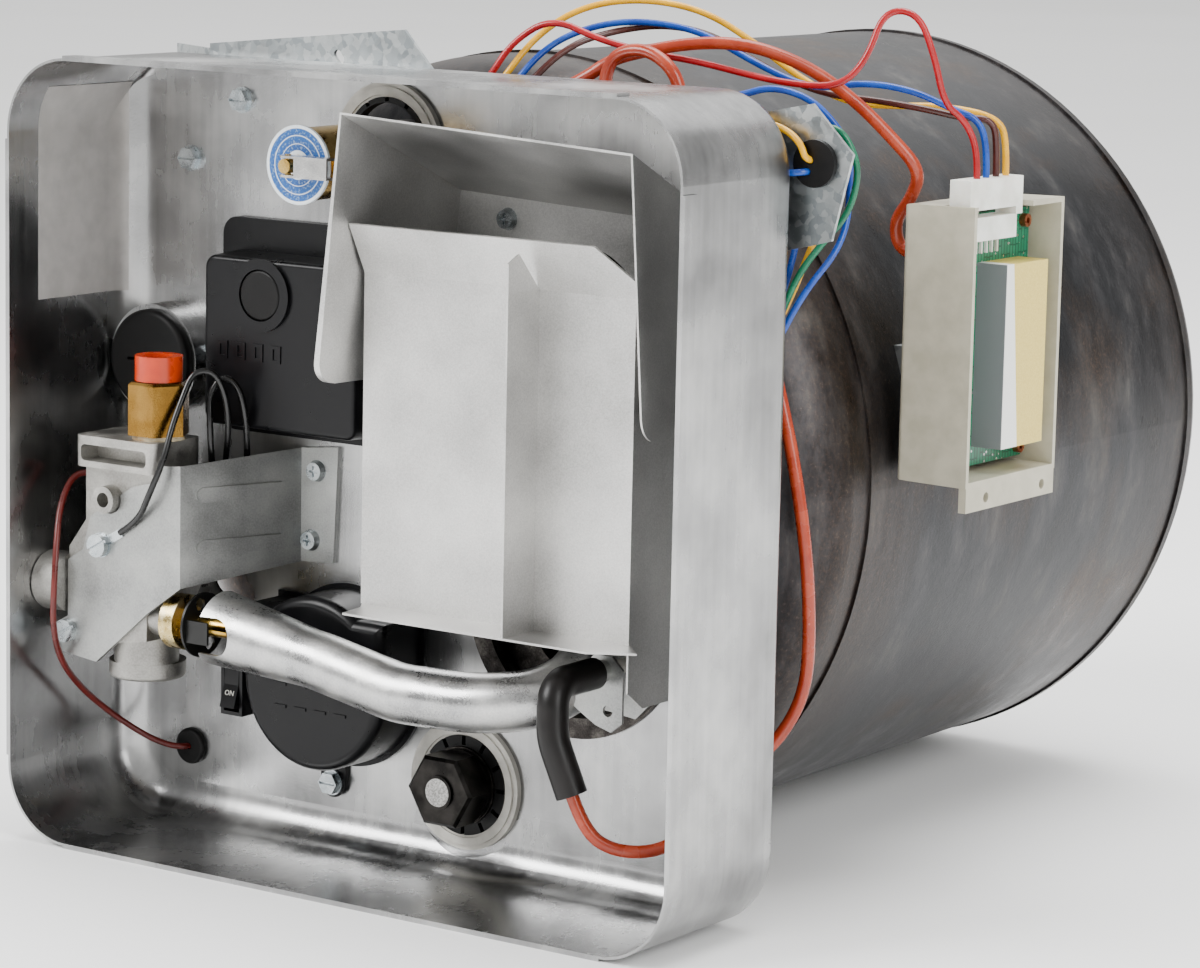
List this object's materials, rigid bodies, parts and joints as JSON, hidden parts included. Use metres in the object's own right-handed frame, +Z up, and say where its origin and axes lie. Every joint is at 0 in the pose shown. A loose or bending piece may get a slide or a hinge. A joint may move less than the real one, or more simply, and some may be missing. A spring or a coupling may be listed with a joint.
{
  "type": "tank water heater",
  "caption": "Caravan tank water heater on gas or electricity, without its casing: pressed front pan with burner, gas valve, hood and wiring, round tank and control board case behind.",
  "frame": {"origin": "middle of the front pan's bottom front edge, on the surface that the heater stands on", "axes": "+X right seen from the front, +Y back along the tank, +Z up"},
  "size_m": [0.356, 0.438, 0.344],
  "materials": {
    "pan_steel": "satin",
    "label": "satin",
    "tank_steel": "matte",
    "raw_steel": "satin",
    "hood_steel": "satin",
    "zinc": "spangled",
    "casting": "cast",
    "brass": "machined",
    "steel_bright": "polished",
    "gilt_ring": "satin",
    "disc_blue": "gloss",
    "cream": "satin",
    "black_rubber": "matte",
    "black_plastic": "matte",
    "black_metal": "matte",
    "oxide_steel": "satin",
    "cap_red": "gloss",
    "sealant": "matte",
    "tube_steel": "matte",
    "ceramic": "glazed",
    "case_beige": "matte",
    "board_green": "gloss",
    "copper": "bright",
    "relay": "matte",
    "connector": "satin",
    "red_wire": "satin",
    "blue_wire": "satin",
    "brown_wire": "satin",
    "yellow_wire": "satin",
    "orange_wire": "satin",
    "green_wire": "satin",
    "black_wire": "satin"
  },
  "bodies": {
    "heater": {"front_pan": "pan_steel", "pan_label": "label", "tank_shell": "tank_steel", "tank_heads": "tank_steel", "head_spuds": "raw_steel", "water_fittings": "raw_steel", "fire_tube": "raw_steel", "anode_rod": "raw_steel", "exhaust_hood": "hood_steel", "baffle_plate": "hood_steel", "wire_bracket": "zinc", "pan_bracket": "zinc", "valve_bracket": "zinc", "case_carrier": "zinc", "tube_clips": "zinc", "pan_screws": "zinc", "valve_bolts": "zinc", "valve_body": "casting", "gas_inlet": "brass", "gas_orifice": "brass", "relief_body": "brass", "heating_element": "steel_bright", "nozzle_ring": "gilt_ring", "relief_disc": "disc_blue", "opening_bezels": "cream", "opening_seals": "black_rubber", "air_plug": "black_rubber", "lead_grommets": "black_rubber", "igniter_boot": "black_rubber", "limit_cover": "black_plastic", "element_cover": "black_plastic", "limit_switch": "black_plastic", "switch_housing": "black_plastic", "board_header": "black_plastic", "drain_plug": "oxide_steel", "inlet_sealant": "sealant", "burner_tube": "tube_steel", "igniter_rod": "ceramic", "board_case": "case_beige", "circuit_board": "board_green", "board_posts": "copper", "relay_block": "relay", "harness_plug": "connector", "harness_red": "red_wire", "harness_blue": "blue_wire", "element_lead_blue": "blue_wire", "harness_brown": "brown_wire", "valve_lead": "brown_wire", "harness_yellow": "yellow_wire", "bracket_leads": "yellow_wire", "igniter_lead": "orange_wire", "element_lead_green": "green_wire", "switch_leads": "black_wire"},
    "stem": {"relief_stem": "brass"},
    "lever": {"relief_lever": "steel_bright"},
    "dome": {"reset_dome": "black_rubber"},
    "pin": {"reset_pin": "black_plastic"},
    "rocker": {"switch_rocker": "black_plastic"},
    "cap": {"inlet_cap": "cap_red"},
    "shutter": {"air_shutter": "black_metal"}
  },
  "joints": [
    {"name": "relief_stem", "type": "slide", "parent": "heater", "child": "stem", "axis": [0, -1, 0], "range_m": [0, 0.003]},
    {"name": "relief_lever", "type": "hinge", "parent": "stem", "child": "lever", "pos_m": [-0.03, 0.015, 0.279], "axis": [0, 0, -1], "range_deg": [0, 90]},
    {"name": "reset_dome", "type": "slide", "parent": "heater", "child": "dome", "axis": [0, 1, 0], "range_m": [0, 0.002], "stiffness_N_per_m": 400},
    {"name": "reset_pin", "type": "slide", "parent": "heater", "child": "pin", "axis": [0, 1, 0], "range_m": [0, 0.002]},
    {"name": "switch_rocker", "type": "hinge", "parent": "heater", "child": "rocker", "pos_m": [-0.087, 0.055, 0.064], "axis": [1, 0, 0], "range_deg": [0, 20]},
    {"name": "inlet_cap", "type": "slide", "parent": "heater", "child": "cap", "axis": [0, 0, 1], "range_m": [0, 0.02]},
    {"name": "air_shutter", "type": "hinge", "parent": "heater", "child": "shutter", "pos_m": [-0.0837, 0.0295, 0.093], "axis": [1, 0, 0], "range_deg": [-20, 20]}
  ],
  "couplings": [
    {"joint": "relief_stem", "follows": "relief_lever", "m_per_rad": 0.0019},
    {"joint": "reset_pin", "follows": "reset_dome", "ratio": 1}
  ]
}
